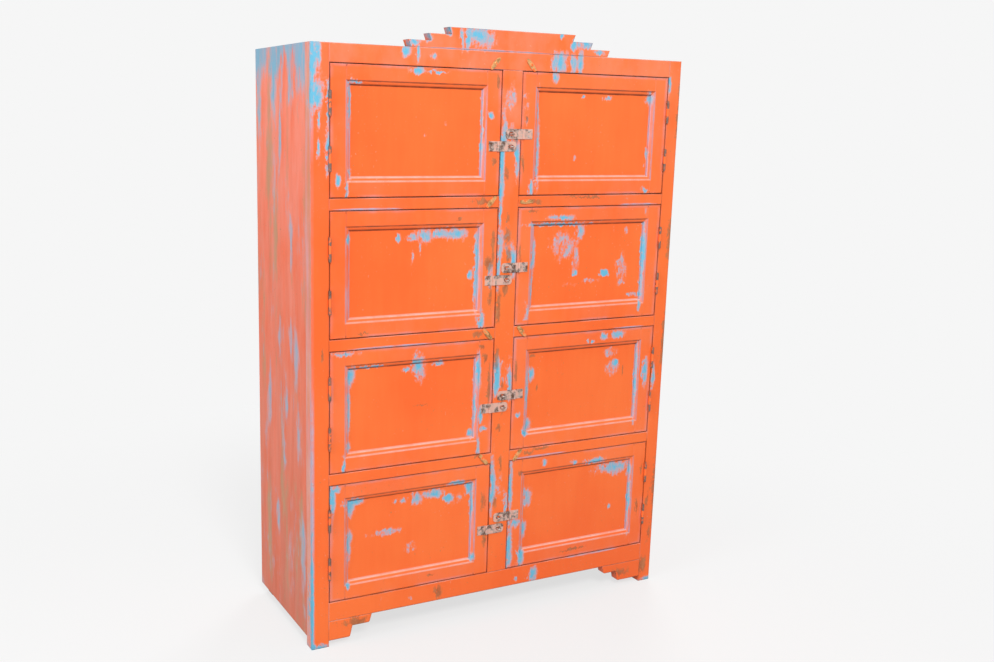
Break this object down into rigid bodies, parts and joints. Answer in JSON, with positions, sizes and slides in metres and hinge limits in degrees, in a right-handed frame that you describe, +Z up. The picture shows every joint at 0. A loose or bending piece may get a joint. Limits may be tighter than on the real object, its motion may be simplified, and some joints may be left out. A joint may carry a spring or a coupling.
{
  "type": "locker cupboard",
  "caption": "Tall free-standing painted wooden locker cupboard with rows of small inset panelled doors, each with hinges, a hasp and staple and a turn button, under a stepped crest.",
  "frame": {"origin": "on the floor, under the middle of the whole cupboard", "axes": "+Z up, -Y the way the doors face, +X to the right seen from the front"},
  "size_m": [1.1, 0.428, 1.5975],
  "materials": {
    "painted_wood": "worn satin paint",
    "bare_wood": "aged bare timber",
    "worn_steel": "worn, partly painted",
    "brass": "tarnished"
  },
  "bodies": {
    "case": {"front_left_post": "painted_wood", "front_right_post": "painted_wood", "rear_posts": "bare_wood", "centre_stile": "painted_wood", "top_rail": "painted_wood", "bottom_rail": "painted_wood", "mid_rails": "painted_wood", "crest_board": "painted_wood", "foot_brackets": "painted_wood", "left_side_boards": "painted_wood", "right_side_boards": "painted_wood", "back_boards": "bare_wood", "top_boards": "bare_wood", "shelf_bearers": "bare_wood", "shelf_boards": "bare_wood", "centre_partition": "bare_wood", "hinge_frame_leaves": "worn_steel", "hinge_pins": "worn_steel", "hasp_staples": "worn_steel", "turn_button_screws": "worn_steel"},
    "top_left_door": {"top_left_door_frame": "painted_wood", "top_left_door_panel": "painted_wood", "top_left_door_fittings": "worn_steel"},
    "top_left_hasp": {"top_left_hasp_strap": "worn_steel"},
    "top_left_button": {"top_left_turn_button": "brass"},
    "upper_left_door": {"upper_left_door_frame": "painted_wood", "upper_left_door_panel": "painted_wood", "upper_left_door_fittings": "worn_steel"},
    "upper_left_hasp": {"upper_left_hasp_strap": "worn_steel"},
    "upper_left_button": {"upper_left_turn_button": "brass"},
    "lower_left_door": {"lower_left_door_frame": "painted_wood", "lower_left_door_panel": "painted_wood", "lower_left_door_fittings": "worn_steel"},
    "lower_left_hasp": {"lower_left_hasp_strap": "worn_steel"},
    "lower_left_button": {"lower_left_turn_button": "brass"},
    "bottom_left_door": {"bottom_left_door_frame": "painted_wood", "bottom_left_door_panel": "painted_wood", "bottom_left_door_fittings": "worn_steel"},
    "bottom_left_hasp": {"bottom_left_hasp_strap": "worn_steel"},
    "bottom_left_button": {"bottom_left_turn_button": "brass"},
    "top_right_door": {"top_right_door_frame": "painted_wood", "top_right_door_panel": "painted_wood", "top_right_door_fittings": "worn_steel"},
    "top_right_hasp": {"top_right_hasp_strap": "worn_steel"},
    "top_right_button": {"top_right_turn_button": "brass"},
    "upper_right_door": {"upper_right_door_frame": "painted_wood", "upper_right_door_panel": "painted_wood", "upper_right_door_fittings": "worn_steel"},
    "upper_right_hasp": {"upper_right_hasp_strap": "worn_steel"},
    "upper_right_button": {"upper_right_turn_button": "brass"},
    "lower_right_door": {"lower_right_door_frame": "painted_wood", "lower_right_door_panel": "painted_wood", "lower_right_door_fittings": "worn_steel"},
    "lower_right_hasp": {"lower_right_hasp_strap": "worn_steel"},
    "lower_right_button": {"lower_right_turn_button": "brass"},
    "bottom_right_door": {"bottom_right_door_frame": "painted_wood", "bottom_right_door_panel": "painted_wood", "bottom_right_door_fittings": "worn_steel"},
    "bottom_right_hasp": {"bottom_right_hasp_strap": "worn_steel"},
    "bottom_right_button": {"bottom_right_turn_button": "brass"}
  },
  "joints": [
    {"name": "top_left_door_swing", "type": "hinge", "parent": "case", "child": "top_left_door", "pos_m": [-0.501, -0.2037, 1.339], "axis": [0, 0, -1], "range_deg": [0, 170]},
    {"name": "top_left_hasp_swing", "type": "hinge", "parent": "top_left_door", "child": "top_left_hasp", "pos_m": [-0.034, -0.2023, 1.307], "axis": [0, 0, -1], "range_deg": [0, 170]},
    {"name": "top_left_button_turn", "type": "hinge", "parent": "case", "child": "top_left_button", "pos_m": [-0.0495, -0.2, 1.51475], "axis": [0, 1, 0], "continuous": true},
    {"name": "upper_left_door_swing", "type": "hinge", "parent": "case", "child": "upper_left_door", "pos_m": [-0.501, -0.2037, 0.9875], "axis": [0, 0, -1], "range_deg": [0, 170]},
    {"name": "upper_left_hasp_swing", "type": "hinge", "parent": "upper_left_door", "child": "upper_left_hasp", "pos_m": [-0.034, -0.2023, 0.9555], "axis": [0, 0, -1], "range_deg": [0, 170]},
    {"name": "upper_left_button_turn", "type": "hinge", "parent": "case", "child": "upper_left_button", "pos_m": [-0.0495, -0.2, 1.16325], "axis": [0, 1, 0], "continuous": true},
    {"name": "lower_left_door_swing", "type": "hinge", "parent": "case", "child": "lower_left_door", "pos_m": [-0.501, -0.2037, 0.636], "axis": [0, 0, -1], "range_deg": [0, 170]},
    {"name": "lower_left_hasp_swing", "type": "hinge", "parent": "lower_left_door", "child": "lower_left_hasp", "pos_m": [-0.034, -0.2023, 0.604], "axis": [0, 0, -1], "range_deg": [0, 170]},
    {"name": "lower_left_button_turn", "type": "hinge", "parent": "case", "child": "lower_left_button", "pos_m": [-0.0495, -0.2, 0.81175], "axis": [0, 1, 0], "continuous": true},
    {"name": "bottom_left_door_swing", "type": "hinge", "parent": "case", "child": "bottom_left_door", "pos_m": [-0.501, -0.2037, 0.2845], "axis": [0, 0, -1], "range_deg": [0, 170]},
    {"name": "bottom_left_hasp_swing", "type": "hinge", "parent": "bottom_left_door", "child": "bottom_left_hasp", "pos_m": [-0.034, -0.2023, 0.2525], "axis": [0, 0, -1], "range_deg": [0, 170]},
    {"name": "bottom_left_button_turn", "type": "hinge", "parent": "case", "child": "bottom_left_button", "pos_m": [-0.0495, -0.2, 0.46025], "axis": [0, 1, 0], "continuous": true},
    {"name": "top_right_door_swing", "type": "hinge", "parent": "case", "child": "top_right_door", "pos_m": [0.51, -0.2037, 1.339], "axis": [0, 0, 1], "range_deg": [0, 170]},
    {"name": "top_right_hasp_swing", "type": "hinge", "parent": "top_right_door", "child": "top_right_hasp", "pos_m": [0.043, -0.2023, 1.339], "axis": [0, 0, 1], "range_deg": [0, 170]},
    {"name": "top_right_button_turn", "type": "hinge", "parent": "case", "child": "top_right_button", "pos_m": [0.0585, -0.2, 1.51475], "axis": [0, 1, 0], "continuous": true},
    {"name": "upper_right_door_swing", "type": "hinge", "parent": "case", "child": "upper_right_door", "pos_m": [0.51, -0.2037, 0.9875], "axis": [0, 0, 1], "range_deg": [0, 170]},
    {"name": "upper_right_hasp_swing", "type": "hinge", "parent": "upper_right_door", "child": "upper_right_hasp", "pos_m": [0.043, -0.2023, 0.9875], "axis": [0, 0, 1], "range_deg": [0, 170]},
    {"name": "upper_right_button_turn", "type": "hinge", "parent": "case", "child": "upper_right_button", "pos_m": [0.0585, -0.2, 1.16325], "axis": [0, 1, 0], "continuous": true},
    {"name": "lower_right_door_swing", "type": "hinge", "parent": "case", "child": "lower_right_door", "pos_m": [0.51, -0.2037, 0.636], "axis": [0, 0, 1], "range_deg": [0, 170]},
    {"name": "lower_right_hasp_swing", "type": "hinge", "parent": "lower_right_door", "child": "lower_right_hasp", "pos_m": [0.043, -0.2023, 0.636], "axis": [0, 0, 1], "range_deg": [0, 170]},
    {"name": "lower_right_button_turn", "type": "hinge", "parent": "case", "child": "lower_right_button", "pos_m": [0.0585, -0.2, 0.81175], "axis": [0, 1, 0], "continuous": true},
    {"name": "bottom_right_door_swing", "type": "hinge", "parent": "case", "child": "bottom_right_door", "pos_m": [0.51, -0.2037, 0.2845], "axis": [0, 0, 1], "range_deg": [0, 170]},
    {"name": "bottom_right_hasp_swing", "type": "hinge", "parent": "bottom_right_door", "child": "bottom_right_hasp", "pos_m": [0.043, -0.2023, 0.2845], "axis": [0, 0, 1], "range_deg": [0, 170]},
    {"name": "bottom_right_button_turn", "type": "hinge", "parent": "case", "child": "bottom_right_button", "pos_m": [0.0585, -0.2, 0.46025], "axis": [0, 1, 0], "continuous": true}
  ]
}
